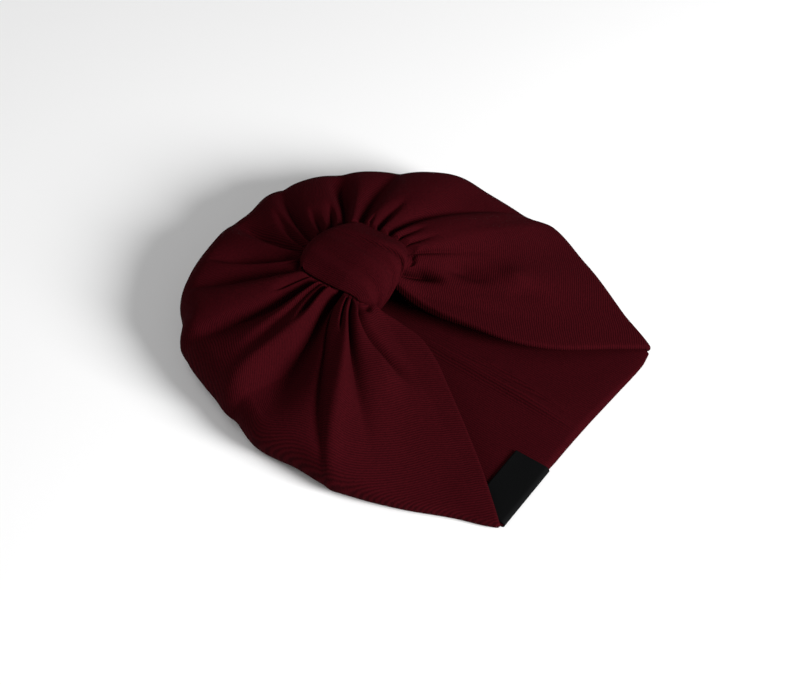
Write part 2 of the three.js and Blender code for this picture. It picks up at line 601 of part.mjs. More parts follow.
// Raises a point of the cap where the tab's lower leaf lies under the cloth.
function liftOffTab(point) {
  const beside = Math.abs(point.x - TAB_MIDDLE) - TAB_LENGTH / 2;
  const behind = point.y + HALF_DEPTH - TAB_LEAF;
  const nearby = (1 - smooth(beside / TAB_EASE)) * (1 - smooth(behind / TAB_LEAF));
  point.z += (TAB_THICKNESS + GAP) * nearby;
  return point;
}

// The blank tab: a strip folded over the rim, with one leaf on the cloth and one below it.
function tabGeometry(extra) {
  const under = TAB_THICKNESS + GAP;
  const fold = RIM_ROLL / 2;
  const middle = under + fold;
  const inside = fold + GAP - extra;
  const outside = fold + GAP + TAB_THICKNESS + extra;
  const end = TAB_LEAF + extra;
  const leafTop = under + CLOTH + GAP + TAB_THICKNESS + extra;
  const outline = new THREE.Shape();
  outline.moveTo(end, middle - outside);
  outline.lineTo(fold, middle - outside);
  outline.absarc(fold, middle, outside, -Math.PI / 2, Math.PI / 2, true);
  outline.lineTo(end, leafTop);
  outline.lineTo(end, leafTop - TAB_THICKNESS - 2 * extra);
  outline.lineTo(fold, middle + inside);
  outline.absarc(fold, middle, inside, Math.PI / 2, -Math.PI / 2, false);
  outline.lineTo(end, middle - inside);
  outline.closePath();
  const strip = new THREE.ExtrudeGeometry(outline, {
    depth: TAB_LENGTH + 2 * extra,
    bevelEnabled: false,
    curveSegments: 8,
  });
  const inwards = new THREE.Vector3(0, 1, 0);
  const up = new THREE.Vector3(0, 0, 1);
  const along = new THREE.Vector3(1, 0, 0);
  strip.applyMatrix4(new THREE.Matrix4().makeBasis(inwards, up, along));
  strip.translate(TAB_MIDDLE - TAB_LENGTH / 2 - extra, -HALF_DEPTH, 0);
  return strip;
}

const wasm = await Module();
wasm.setup();

function solid(geometry) {
  const bare = geometry.clone();
  for (const name of Object.keys(bare.attributes)) {
    if (name !== "position") bare.deleteAttribute(name);
  }
  const merged = mergeVertices(bare, WELD);
  return new wasm.Manifold(
    new wasm.Mesh({
      numProp: 3,
      vertProperties: merged.attributes.position.array,
      triVerts: new Uint32Array(merged.index.array),
    }),
  );
}

function geometryOf(manifold) {
  const mesh = manifold.getMesh();
  const made = new THREE.BufferGeometry();
  made.setAttribute("position", new THREE.BufferAttribute(mesh.vertProperties, 3));
  made.setIndex(new THREE.BufferAttribute(mesh.triVerts, 1));
  made.computeVertexNormals();
  return made;
}

function largest(manifold) {
  return manifold.decompose().reduce((a, b) => (b.volume() > a.volume() ? b : a));
}

const cloth = new THREE.MeshStandardMaterial({ color: 0x4a0d16, roughness: 0.95, metalness: 0 });
const tabCloth = new THREE.MeshStandardMaterial({ color: 0x111111, roughness: 0.8, metalness: 0 });

const headwrap = new THREE.Group();

function add(name, geometry, material) {
  const mesh = new THREE.Mesh(geometry, material);
  mesh.name = name;
  headwrap.add(mesh);
}

const cap = solid(capGeometry())
  .subtract(solid(bandGeometry(GAP)))
  .subtract(solid(tabGeometry(GAP)));
add("cap", geometryOf(largest(cap)), cloth);
add("knot_band", bandGeometry(0), cloth);
add("side_tab", tabGeometry(0), tabCloth);

export default headwrap;
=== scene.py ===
"""A turban headwrap of doubled rib knit, laid flat with its knot upwards, in soft studio light."""
import math

import bpy
import numpy as np
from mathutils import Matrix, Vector

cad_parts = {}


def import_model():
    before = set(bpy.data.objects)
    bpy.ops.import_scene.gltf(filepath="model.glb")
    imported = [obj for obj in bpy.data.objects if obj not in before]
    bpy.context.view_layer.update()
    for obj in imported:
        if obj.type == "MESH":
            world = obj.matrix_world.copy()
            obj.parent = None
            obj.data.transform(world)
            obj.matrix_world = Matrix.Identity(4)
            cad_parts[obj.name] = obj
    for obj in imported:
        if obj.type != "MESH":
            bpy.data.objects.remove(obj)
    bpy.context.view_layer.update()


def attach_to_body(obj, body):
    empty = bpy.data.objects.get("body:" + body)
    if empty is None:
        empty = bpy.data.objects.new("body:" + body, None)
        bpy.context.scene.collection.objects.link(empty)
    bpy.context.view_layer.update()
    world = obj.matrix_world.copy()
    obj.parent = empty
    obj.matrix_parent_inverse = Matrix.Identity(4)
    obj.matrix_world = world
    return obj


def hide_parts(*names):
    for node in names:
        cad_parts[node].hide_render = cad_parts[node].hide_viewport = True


MM = 0.001

# Sizes of the hat, in millimetres, the same as those of its solids
RIM_WIDTH = 168  # back rim, tip to tip
RIM_SHIFT = 2  # the rim's middle lies this far to the right of the cap's
RIM_BOW = 4  # how far the right half of the rim sags out of a straight line
CROWN_WIDTH = 247  # the width that the outline's reaches are shares of
CROWN_DEPTH = 272  # rim to the far edge of the crown
KNOT_SETBACK = 165  # rim to the middle of the bundle
KNOT_SHIFT = 3  # the bundle lies this far to the right of the cap's middle
KNOT_HEIGHT = 54  # top of the band above the table
CLOTH = 2.4  # two layers of knit
BUNDLE = 17  # thickness of the gathered cloth below the band
FOLD_DEPTH = 12  # deepest fold
EDGE_RADIUS = 13  # round of the crown's edge where the front turns into the back
TIP_RADIUS = 3.2  # round of the folded edge at the two tips
WING_ROLL = 5  # thickness of the wings' rolled edges
RIM_ROLL = 3.4  # thickness of the rolled back rim
RIM_EASE = 7  # how far in from the rim its roll thins out
CREASE_HEIGHT = 6  # soft crease along the inside of the back
CREASE_WIDTH = 6  # of that crease, at 1 / e of its height
BAND_WIDTH = 52  # at its widest, on top
BAND_THICKNESS = 4.6
BAND_ARCH = 7  # the band's sides hang this far below its middle
BAND_REACH = 35  # middle of the bundle to the band's end in the crown
BAND_FRONT = 20  # middle of the bundle to the band's front roll
BAND_DROP = 34  # top of the band to the stretch below the bundle
BAND_SLANT = 9  # the left corner of the band's end lies this far beyond the right
BAND_ROUND = 8  # that end's middle lies this far beyond its corners
TAB_LENGTH = 48  # along the rim
TAB_LEAF = 23  # from the rim inwards
TAB_THICKNESS = 0.7
TAB_FROM_TIP = 3  # end of the tab to the left tip
TAB_EASE = 9  # the cloth comes down to the table this far beside the tab
GAP = 0.3  # between pieces that touch
NOSE = 0.6  # half the height of the closing strip at a cloth edge

# Low relief inside the back, in millimetres: a valley beside its crease and a ridge beyond it. Both
# places are to the right of the bundle's middle
SIDE_CREASE_FROM = 26  # the relief starts this far in from the rim
SIDE_CREASE_TO = 96  # and ends this far in
SIDE_CREASE_FADE = 20  # coming up and going down over this distance
VALLEY_PLACE = 8.5
VALLEY_DEPTH = 1.6
VALLEY_WIDTH = 1.7
RIDGE_PLACE = 12.5
RIDGE_HEIGHT = 3.2
RIDGE_WIDTH = 2.4

# Low relief on the band: heights in millimetres, places across in half widths, places along in
# shares of the band's length
RING_FURROW_DEPTH = 3  # the furrow beside the rolled ring
RING_FURROW_WIDTH = 0.05
RING_FURROW_FROM = 0.16
RING_HEIGHT = 1.4
RING_WIDTH = 0.13
RING_BESIDE = 0.2  # furrow to the ring's top
RING_FROM = 0.2
RING_OVER = 0.25  # the furrow and the ring both come up over this share
RING_LINE = 0.34  # where the furrow starts, across the band
RING_SWERVE = 0.28  # how far it then moves to the right
RING_SWERVE_FROM = 0.25
RING_SWERVE_OVER = 0.45
TUCK_HEIGHT = 1.1
TUCK_WAVES = 11  # radians across a half width
TUCK_START = 1.4  # radians
TUCK_LEAN = 5  # radians along the band
FINE_TUCK_HEIGHT = 0.25
FINE_TUCK_WAVES = 21
FINE_TUCK_LEAN = 7
TUCK_FADE = 0.2  # the tucks end this far beside the furrow
TUCK_FROM = 0.1
TUCK_OVER = 0.3

# Knit and ribbon, in millimetres unless a comment says otherwise
RIB_PITCH = 1.45
BAND_RIB_PITCH = 0.95
RIB_WANDER = 1.0  # slow drift of the ribs sideways
RIB_WANDER_SCALE = 0.05  # per millimetre
RIB_JITTER = 0.9  # unevenness from stitch to stitch
RIB_JITTER_SCALE = 0.7  # per millimetre
CAP_RELIEF = 0.46
BAND_RELIEF = 0.35
KNIT_BUMP = 0.0004  # metres
# colour darkening in the grooves between the ribs, where their height is low: painted shade
RIB_PAINTED_SHADE = 0.95
MOTTLE_SHADE = 0.35
MOTTLE_SCALE = 60  # per metre
MOTTLE_DETAIL = 4
GRAIN_SHADE = 1.2
GRAIN_BASE = -0.67
GRAIN_SCALE = 800  # per metre
GRAIN_DETAIL = 2
FUZZ_HEIGHT = 0.35  # share of a rib's height
FUZZ_SCALE = 1400  # per metre
# the knit's colour runs between these two: the ribs' painted shade, the random mottle and the grain
WINE_DARK = (0.0175, 0.0012, 0.0022, 1)
WINE_LIGHT = (0.034, 0.002, 0.0036, 1)
TWILL_WAVES = 9.0  # radians per millimetre
TAB_RELIEF = 0.4
TAB_BUMP = 0.0002  # metres
TAB_DARK = (0.0022, 0.0023, 0.0025, 1)
TAB_LIGHT = (0.004, 0.0042, 0.0044, 1)

# Camera, in degrees and metres, with the lens and its sensor in millimetres
CAMERA_AZIMUTH = -53.577
CAMERA_ELEVATION = 50.624
CAMERA_DISTANCE = 1.0
CAMERA_TARGET = (-0.003327, -0.003565, 0.0)
CAMERA_LENS = 70.96
CAMERA_SENSOR = 36
CAMERA_NEAR = 0.05
CAMERA_FAR = 20

# Studio, in metres and watts. A light's way is in shares of the camera's right, up and back
KEY_WAY = (1.0, -0.35, 0.6)
KEY_LIFT = 0.3
KEY_DISTANCE = 1.3
KEY_SIZE = 0.7
KEY_POWER = 56
FILL_WAY = (-0.6, 0.6, 0.6)
FILL_DISTANCE = 1.8
FILL_SIZE = 2.2
FILL_POWER = 14
WORLD_POWER = 0.17
FLOOR_REACH = 6
FLOOR_DROP = 0.0004  # below the table's height, so that it doesn't meet the cloth
FLOOR_SCALE = 3
FLOOR_DARK = (0.90, 0.90, 0.90, 1)
FLOOR_LIGHT = (0.93, 0.93, 0.93, 1)

HALF_WIDTH = CROWN_WIDTH / 2
HALF_DEPTH = CROWN_DEPTH / 2
BUNDLE_TOP = KNOT_HEIGHT - BAND_THICKNESS - 2 * GAP
KNOT = np.array([KNOT_SHIFT, KNOT_SETBACK - HALF_DEPTH])
TAB_MIDDLE = RIM_SHIFT - RIM_WIDTH / 2 + TAB_FROM_TIP + TAB_LENGTH / 2

# The cap's edge seen from above: turn from the right tip, 0, to the left tip, 1, and reach from
# the bundle, where 1 is half the crown's width or depth
OUTLINE = [
    (0.03, 1.28), (0.08, 1.19), (0.12, 1.15), (0.135, 1.08), (0.15, 1.05), (0.18, 1.02),
    (0.21, 1), (0.24, 0.93), (0.27, 0.87), (0.33, 0.81), (0.39, 0.79), (0.45, 0.78),
    (0.49, 0.75), (0.53, 0.78), (0.57, 0.81), (0.61, 0.86), (0.64, 0.9), (0.67, 0.9),
    (0.7, 0.96), (0.74, 0.95), (0.78, 0.97), (0.82, 1.06), (0.86, 1.07), (0.9, 1.14),
    (0.94, 1.2), (0.975, 1.28),
]

# The rim's line: across from the left tip, 0, to the right tip, 1, and out in shares of RIM_BOW
RIM_LINE = [(0, 0), (0.35, 0), (0.55, 0.2), (0.75, 0.65), (0.93, 1), (1, 0.6)]

# turn, knot, round, bow, fullness: how the front rises from the edge to the bundle
RISE = [
    (0, 0.6, 0, 1, 1),
    (0.07, 0.8, 0.2, 1.3, 0.95),
    (0.15, 0.96, 0.6, 1.9, 0.75),
    (0.24, 1, 1, 2.3, 0.6),
    (0.5, 1, 1, 2.4, 0.55),
    (0.76, 1, 1, 2.3, 0.6),
    (0.85, 1, 0.8, 2.3, 0.62),
    (0.9, 0.95, 0.5, 1.9, 0.72),
    (0.95, 0.84, 0.15, 1.3, 0.93),
    (1, 0.74, 0, 1, 1),
]

# along, right, left: how far the wings' edges swing over the mouth, in turns
WING_EDGES = [
    (0, 0.007, -0.034), (0.12, 0, -0.027), (0.2, -0.02, 0.032), (0.28, -0.034, 0.054),
    (0.36, -0.036, 0.05), (0.5, -0.039, 0.032), (0.64, -0.031, 0.02), (0.84, -0.011, 0.008),
    (1, 0, 0),
]

# near, mid and far turns, depth, root, peak, end, low and high spreads of each furrow
FOLDS = [
    (0.052, 0.04, 0.03, 1, 0.7, 0.25, 0.34, 0.01, 0.014),
    (0.114, 0.097, 0.086, 0.38, 1, 0.25, 0.62, 0.006, 0.006),
    (0.146, 0.134, 0.106, 0.42, 1, 0.24, 0.46, 0.007, 0.008),
    (0.179, 0.16, 0.123, 0.42, 1, 0.24, 0.46, 0.007, 0.008),
    (0.215, 0.188, 0.138, 0.66, 0.9, 0.34, 1.1, 0.007, 0.02),
    (0.264, 0.244, 0.214, 0.62, 0.9, 0.34, 0.64, 0.009, 0.012),
    (0.3, 0.276, 0.242, 0.3, 1, 0.3, 0.5, 0.008, 0.008),
    (0.336, 0.302, 0.268, 0.75, 0.8, 0.5, 1.15, 0.012, 0.016),
    (0.382, 0.355, 0.342, 0.9, 0.9, 0.6, 1.02, 0.011, 0.013),
    (0.44, 0.391, 0.372, 0.62, 0.9, 0.4, 0.68, 0.009, 0.009),
    (0.47, 0.436, 0.405, 0.55, 0.9, 0.4, 0.64, 0.009, 0.008),
    (0.525, 0.48, 0.42, 0.85, 0.8, 0.55, 1.1, 0.012, 0.011),
    (0.55, 0.514, 0.446, 0.68, 0.8, 0.5, 0.85, 0.01, 0.009),
    (0.561, 0.547, 0.518, 1.05, 0.7, 0.66, 1.02, 0.016, 0.009),
    (0.58, 0.594, 0.598, 1.05, 0.6, 0.62, 0.98, 0.02, 0.009),
    (0.597, 0.612, 0.616, 0.35, 1, 0.4, 0.6, 0.006, 0.007),
    (0.634, 0.637, 0.641, 1.05, 0.8, 0.6, 1.1, 0.024, 0.011),
    (0.674, 0.691, 0.694, 0.5, 1, 0.4, 0.54, 0.008, 0.007),
    (0.697, 0.715, 0.709, 1.1, 0.8, 0.6, 1.15, 0.014, 0.015),
    (0.728, 0.754, 0.762, 0.5, 0.5, 0.56, 0.9, 0.01, 0.018),
    (0.75, 0.776, 0.775, 0.66, 0.9, 0.34, 0.56, 0.01, 0.01),
    (0.789, 0.806, 0.792, 1.6, 0.8, 0.62, 1.12, 0.007, 0.048),
    (0.816, 0.856, 0.884, 0.95, 0.8, 0.6, 1.15, 0.01, 0.005),
    (0.86, 0.881, 0.896, 0.6, 1, 0.32, 0.42, 0.007, 0.008),
    (0.888, 0.911, 0.925, 0.8, 0.8, 0.45, 0.95, 0.014, 0.011),
    (0.922, 0.985, 0.98, 0.75, 0.8, 0.34, 0.5, 0.01, 0.012),
]
LEVELS = np.array([0.25, 0.5, 1.0])

# turn, along, height, wide, long of the broad swells and hollows of the wings
SWELLS = [
    (0.055, 0.62, 0.26, 0.02, 0.09),
    (0.057, 0.74, 0.16, 0.03, 0.14),
    (0.1, 0.88, -0.14, 0.03, 0.14),
    (0.068, 0.43, -0.45, 0.017, 0.07),
    (0.135, 0.5, 0.22, 0.03, 0.26),
    (0.183, 0.8, -0.22, 0.03, 0.2),
    (0.35, 0.72, -0.4, 0.014, 0.14),
    (0.78, 0.8, 0.26, 0.012, 0.24),
    (0.822, 0.74, -0.28, 0.024, 0.24),
    (0.886, 0.68, 0.5, 0.013, 0.32),
    (0.95, 0.45, 0.3, 0.02, 0.1),
]

# turn, along, height, wide, long of the small dents and bumps in the right wing, which the solids
# don't have
DENTS = [
    (0.062, 0.24, -0.16, 0.012, 0.035),
    (0.068, 0.42, -0.1, 0.008, 0.045),
    (0.055, 0.48, -0.13, 0.009, 0.05),
    (0.054, 0.61, 0.17, 0.012, 0.045),
    (0.036, 0.62, -0.14, 0.008, 0.05),
    (0.014, 0.44, 0.08, 0.016, 0.1),
]

# along, down, width, shift, arch of the band from its end in the crown to the end below the bundle
BAND_PATH = [
    (0.81, 0.24, 0.97, 0.06, 0.35),
    (0.79, 0.12, 1, 0.06, 0.45),
    (0.7, 0.05, 1.04, 0.06, 0.7),
    (0.4, 0, 1.05, 0.07, 1),
    (-0.1, 0, 1.05, 0.09, 1),
    (-0.6, 0.08, 1.02, 0.11, 0.9),
    (-0.94, 0.24, 0.94, 0.08, 0.75),
    (-1.02, 0.46, 0.64, -0.02, 0.5),
    (-0.86, 0.76, 0.28, -0.16, 0.2),
    (-0.5, 0.96, 0.3, -0.12, 0.1),
    (0.1, 1, 0.3, -0.06, 0.1),
]

# Grids of the shown pieces
OUTER_COLUMNS = 560
OUTER_TOP_ROWS = 110
OUTER_CURL_ROWS = 14
OUTER_BACK_ROWS = 30
INNER_SHARE = 4  # the cap's inner face has one row or column for this many of the outer face's
EDGE_COLUMNS = np.array([0.012, 0.03])  # extra columns beside each wing's edge
ROW_CROWDING = 1.35  # rows lie closer together towards the edge
BAND_ROWS = 150
BAND_COLUMNS = 120
TAB_COLUMNS = 40
TAB_UNDER_POINTS = 14
TAB_TURN_POINTS = 24
TAB_TOP_POINTS = 24
TAB_UNDER_END = 0.12  # share of the tab's leaf at which its lower side meets the fold
TAB_TOP_START = 0.14  # and its upper side
TOP_STEPS = 60  # points of the band's line over the bundle
WAY_STEP = 0.002  # step of a row or turn for finding the way along the cloth
BAND_WAY_STEP = 0.01  # and along the band
FLAT_STEP = 0.06  # step of a turn for finding the way along the outline
SMALLEST = 1e-9  # a vector shorter than this has no direction

# Shape of the cloth, where shares without a name of their own are of the way from bundle to edge
KNOT_EASE = 0.25  # share over which the wings come down from the bundle's height
OPEN_FROM = 0.12  # share at which the bundle starts to thin out into a sheet
OPEN_OVER = 0.42  # and the share that it takes
CLEAR_FROM = 0.3  # the wings' edges start this far out, in thicknesses of the bundle
ROLL_REACH = 3  # a rolled edge thins out within this many of its thicknesses
CREASE_RIM_FADE = 40  # the crease fades in over this distance from the rim
CREASE_CROWN_FADE = 60  # and out over this distance towards the crown
CREASE_END = 20  # ending this far behind the bundle's middle
FURROW_ROOT = 0.6  # how much narrower the furrows are beside the band
WIDEN_FROM = 0.15  # share at which they start to widen
WIDEN_OVER = 0.45  # and the share that it takes
FURROW_FLOOR = 0.3  # the round of a furrow's floor, in spreads
FURROW_BLEND = 3  # furrows side by side run together the less, the larger this is
FRONT_PRESS_SLOPE = 0.7  # how steeply the gathered cloth rises beside the band's front
CROWN_PRESS_SLOPE = 2.2  # and beside its end in the crown
PRESS_ROUND = 0.06  # how fast that rise gets steeper, per millimetre
TOP_SHARE = 0.62  # the share of the band's length that lies over the bundle
END_SHARE = 0.4  # the share of the band's length over which its end's slant and round fade
BAND_FLATNESS = 5  # how flat the band stays towards its sides
BAND_KNIT_LENGTH = 120  # length of the band's knit, for its ribs


def smooth(x):
    x = np.clip(x, 0, 1)
    return x * x * (3 - 2 * x)


def lerp(a, b, x):
    return a + (b - a) * x


def through(keys, values, at):
    """A smooth curve through the rows of a table, the same as the solids have."""
    keys = np.asarray(keys, float)
    values = np.asarray(values, float)
    at = np.clip(np.asarray(at, float), keys[0], keys[-1])
    i = np.clip(np.searchsorted(keys, at, side="right") - 1, 0, len(keys) - 2)
    low = np.maximum(np.arange(len(keys)) - 1, 0)
    high = np.minimum(np.arange(len(keys)) + 1, len(keys) - 1)
    slope = (values[high] - values[low]) / (keys[high] - keys[low])
    span = keys[i + 1] - keys[i]
    x = (at - keys[i]) / span
    bend = slope[i] * span * x * (1 - x) ** 2 - slope[i + 1] * span * x * x * (1 - x)
    return values[i] + (values[i + 1] - values[i]) * smooth(x) + bend


def column(rows, number):
    return [row[number] for row in rows]


def rim_out(across):
    return RIM_BOW * through(column(RIM_LINE, 0), column(RIM_LINE, 1), across)


def tip(side):
    across = (RIM_SHIFT + side * RIM_WIDTH / 2 - KNOT_SHIFT) / HALF_WIDTH
    back = (KNOT_SETBACK + rim_out((1 + side) / 2)) / HALF_DEPTH
    angle = math.atan2(across, back)
    return (angle if side > 0 else angle + 2 * math.pi), math.hypot(across, back)


RIGHT_ANGLE, RIGHT_REACH = tip(1)
LEFT_ANGLE, LEFT_REACH = tip(-1)
TURN_ANGLE = LEFT_ANGLE - RIGHT_ANGLE
EDGE_TURNS = [0] + column(OUTLINE, 0) + [1]
EDGE_REACHES = [RIGHT_REACH] + column(OUTLINE, 1) + [LEFT_REACH]


def right_edge(along):
    return through(column(WING_EDGES, 0), column(WING_EDGES, 1), along)


def left_edge(along):
    return 1 + through(column(WING_EDGES, 0), column(WING_EDGES, 2), along)


def course(fold, along):
    return through(LEVELS, fold[:3], along)


def line_turn(line, along):
    """The turn of grid line number line, which follows furrow number line."""
    tracks = [right_edge(along)] + [course(f, along) for f in FOLDS] + [left_edge(along)]
    tracks = np.stack(np.broadcast_arrays(*tracks))
    k = np.clip(np.floor(line).astype(int), 0, len(FOLDS))
    k = np.broadcast_to(k, tracks.shape[1:])
    low = np.take_along_axis(tracks, k[None], 0)[0]
    high = np.take_along_axis(tracks, k[None] + 1, 0)[0]
    return lerp(low, high, line - k)


def plan(turn, along):
    angle = RIGHT_ANGLE + turn * TURN_ANGLE
    reach = along * through(EDGE_TURNS, EDGE_REACHES, turn)
    x = KNOT[0] + reach * HALF_WIDTH * np.sin(angle)
    y = KNOT[1] - reach * HALF_DEPTH * np.cos(angle)
    return np.stack([x, y], -1)


def rise(number, turn):
    return through(column(RISE, 0), column(RISE, number), turn)


def round_at(turn):
    return TIP_RADIUS + (EDGE_RADIUS - TIP_RADIUS) * rise(2, turn)


def front_point(turn, along):
    p = plan(turn, along)
    radius = round_at(turn)
    inset = np.linalg.norm(p - plan(turn, 1.0), axis=-1)
    lip = np.sqrt(1 - (1 - np.minimum(inset / radius, 1)) ** 2)
    share = lerp(1, rise(1, turn), smooth(along / KNOT_EASE))
    dome = np.maximum(1 - along ** rise(3, turn), 0) ** rise(4, turn)
    z = radius + radius * lip + (BUNDLE_TOP * share - 2 * radius) * dome
    return np.concatenate([p, z[..., None]], -1)


def curl_point(turn, share):
    p = plan(turn, 1.0)
    radius = round_at(turn)
    inset = radius * (1 - np.cos(share * math.pi / 2))
    inwards = KNOT - p
    inwards /= np.linalg.norm(inwards, axis=-1, keepdims=True)
    p = p + inwards * inset[..., None]
    z = radius * (1 - np.sin(share * math.pi / 2))
    return np.concatenate([p, z[..., None]], -1)


def fold_height(turn, along):
    furrows = np.zeros(np.broadcast(turn, along).shape)
    width = lerp(FURROW_ROOT, 1, smooth((along - WIDEN_FROM) / WIDEN_OVER))
    for fold in FOLDS:
        depth, root, peak, end, low, high = fold[3:]
        off = turn - course(fold, along)
        x = np.abs(off) / np.where(off < 0, low, high) / width
        across = np.exp(FURROW_FLOOR - np.hypot(x, FURROW_FLOOR))
        rising = lerp(root, 1, smooth(along / peak))
        falling = 1 - smooth((along - peak) / (end - peak))
        furrows += (depth * across * np.where(along < peak, rising, falling)) ** FURROW_BLEND
    height = -(furrows ** (1 / FURROW_BLEND))
    for at, far, tall, wide, long in SWELLS + DENTS:
        height += tall * np.exp(-(((turn - at) / wide) ** 2) - ((along - far) / long) ** 2)
    return height * FOLD_DEPTH


def edge_round(inset, radius):
    x = 1 - np.clip(inset / radius, 0, 1)
    return 1 - np.sqrt(1 - x * x)


def along_of(rows):
    return 1 - (1 - rows) ** ROW_CROWDING


def band_frame(share):
    keys = np.linspace(0, 1, len(BAND_PATH))

    def at(s):
        along = through(keys, column(BAND_PATH, 0), s)
        down = through(keys, column(BAND_PATH, 1), s)
        y = KNOT[1] + along * np.where(along > 0, BAND_REACH, BAND_FRONT)
        z = KNOT_HEIGHT - BAND_THICKNESS / 2 - down * BAND_DROP
        x = KNOT[0] + through(keys, column(BAND_PATH, 3), s) * BAND_WIDTH
        return np.stack([x, y, z], -1)

    way = at(np.minimum(share + BAND_WAY_STEP, 1)) - at(np.maximum(share - BAND_WAY_STEP, 0))
    way[..., 0] = 0
    way /= np.linalg.norm(way, axis=-1, keepdims=True)
    out = np.stack([np.zeros_like(way[..., 0]), way[..., 2], -way[..., 1]], -1)
    half = through(keys, column(BAND_PATH, 2), share) * BAND_WIDTH / 2
    arch = through(keys, column(BAND_PATH, 4), share) * BAND_ARCH
    return at(share), out, half, arch


def band_end(across):
    """How far the band's end in the crown lies behind the end of its middle line."""
    return BAND_ROUND * (1 - across**2) - BAND_SLANT / 2 * across


def press_under_band(p):
    """How far the gathered cloth is pressed down to pass below the band."""
    share = np.linspace(0, TOP_SHARE, TOP_STEPS)
    centre, _, half, arch = band_frame(share)
    order = np.argsort(centre[:, 1])
    y = centre[order, 1]
    x = p[..., 0] - np.interp(p[..., 1], y, centre[order, 0])
    inside = np.interp(p[..., 1], y, half[order])
    across = np.clip(x / inside, -1, 1)
    place = p[..., 1] - band_end(across) * smooth((p[..., 1] - KNOT[1]) / BAND_REACH)
    inside = np.interp(place, y, half[order])
    under = np.interp(place, y, centre[order, 2]) - BAND_THICKNESS / 2 - GAP
    under = under - np.interp(place, y, arch[order]) * across**2
    beyond = np.hypot(np.maximum(np.abs(x) - inside, 0), place - np.clip(place, y[0], y[-1]))
    to_crown = smooth((place - y[0]) / (y[-1] - y[0]))
    slope = lerp(FRONT_PRESS_SLOPE, CROWN_PRESS_SLOPE, to_crown)
    return np.maximum(p[..., 2] - under - slope * beyond - PRESS_ROUND * beyond**2, 0)


def lift_off_tab(p):
    beside = np.abs(p[..., 0] - TAB_MIDDLE) - TAB_LENGTH / 2
    behind = p[..., 1] + HALF_DEPTH - TAB_LEAF
    nearby = (1 - smooth(beside / TAB_EASE)) * (1 - smooth(behind / TAB_LEAF))
    p = p.copy()
    p[..., 2] += (TAB_THICKNESS + GAP) * nearby
    return p


def rib_coordinates(turn, p, front):
    """Where each point was on the flat knit: the front is the back turned over the outline."""
    middle = np.clip(turn, FLAT_STEP, 1 - FLAT_STEP)
    edge = plan(np.clip(turn, 0, 1), 1.0)
    tangent = plan(middle + FLAT_STEP, 1.0) - plan(middle - FLAT_STEP, 1.0)
    tangent /= np.linalg.norm(tangent, axis=-1, keepdims=True)
    inwards = p[..., :2] - edge
    across = (inwards * tangent).sum(-1, keepdims=True)
    mirrored = 2 * across * tangent - inwards
    return np.where(front[..., None], edge + mirrored, p[..., :2])


def middle_point(turn, stage):
    """A point of the plain sheet: the front up to stage 1, then the curl up to stage 2."""
    front = front_point(turn, along_of(np.minimum(stage, 1)))
    curl = curl_point(turn, np.clip(stage - 1, 0, 1))
    return np.where((stage <= 1)[..., None], front, curl)


def outwards(turn, stage):
    """The way out of the sheet at each point of the front and the curl."""
    on_front = np.minimum(stage, 2)
    ahead = np.where(stage < 1, np.minimum(stage + WAY_STEP, 1), on_front)
    behind = np.maximum(on_front - WAY_STEP, 0)
    across_way = middle_point(turn + WAY_STEP, on_front) - middle_point(turn - WAY_STEP, on_front)
    along_way = middle_point(turn, ahead) - middle_point(turn, behind)
    out = np.cross(along_way, across_way)
    size = np.linalg.norm(out, axis=-1, keepdims=True)
    out = np.where(size > SMALLEST, out / np.maximum(size, SMALLEST), [0, 0, 1])
    out[stage == 0] = [0, 0, 1]
    return out


def cloth_face(lines, stages, face):
    """One face of the cap as a grid of points, with the place of each on the flat knit."""
    line, stage = np.meshgrid(lines, stages)
    half = (len(FOLDS) + 1) / 2
    along = along_of(np.minimum(stage, 1))
    turn = line_turn(line, along)
    edge_turn = np.where(line < half, turn - right_edge(along), left_edge(along) - turn)
    from_knot = np.linalg.norm(plan(turn, along) - KNOT, axis=-1)
    inset = from_knot * edge_turn * TURN_ANGLE
    point = middle_point(turn, np.minimum(stage, 2))
    out = outwards(turn, stage)
    opened = smooth((along - OPEN_FROM) / OPEN_OVER)
    curl = np.where(stage > 1, np.cos((np.clip(stage, 1, 2) - 1) * math.pi / 2) ** 2, 1)
    fold = np.where(stage > 0, fold_height(turn, along) * curl, 0)
    roll = edge_round(inset, ROLL_REACH * WING_ROLL)
    thick = lerp(CLOTH, BUNDLE, 1 - opened) + (WING_ROLL - CLOTH) * roll * opened * curl
    clear = smooth(from_knot / BUNDLE - CLEAR_FROM)
    half_edge = np.minimum(thick, WING_ROLL) / 2
    outer_shift = fold - edge_round(inset, half_edge) * (half_edge - NOSE) * clear
    closing = edge_round(inset, thick / 2) * clear
    inner_fold = fold * lerp(opened, 1, closing)
    inner_shift = inner_fold - thick + closing * (thick - half_edge - NOSE)
    press = press_under_band(point + out * outer_shift[..., None])
    point = point + out * (outer_shift if face == "outer" else inner_shift)[..., None]
    point[..., 2] -= np.where(stage <= 1, press, 0)
    back = back_point(turn, np.maximum(stage - 2, 0), face, inset)
    point = np.where((stage > 2)[..., None], back, point)
    flat = rib_coordinates(turn, point, stage <= 1.5)
    return lift_off_tab(point), flat


def side_crease(beside, inwards):
    """Height of the valley and the ridge beside the back's crease."""
    near_rim = smooth((inwards - SIDE_CREASE_FROM) / SIDE_CREASE_FADE)
    far_in = smooth((SIDE_CREASE_TO - inwards) / SIDE_CREASE_FADE)
    valley = VALLEY_DEPTH * np.exp(-(((beside - VALLEY_PLACE) / VALLEY_WIDTH) ** 2))
    ridge = RIDGE_HEIGHT * np.exp(-(((beside - RIDGE_PLACE) / RIDGE_WIDTH) ** 2))
    return (ridge - valley) * near_rim * far_in


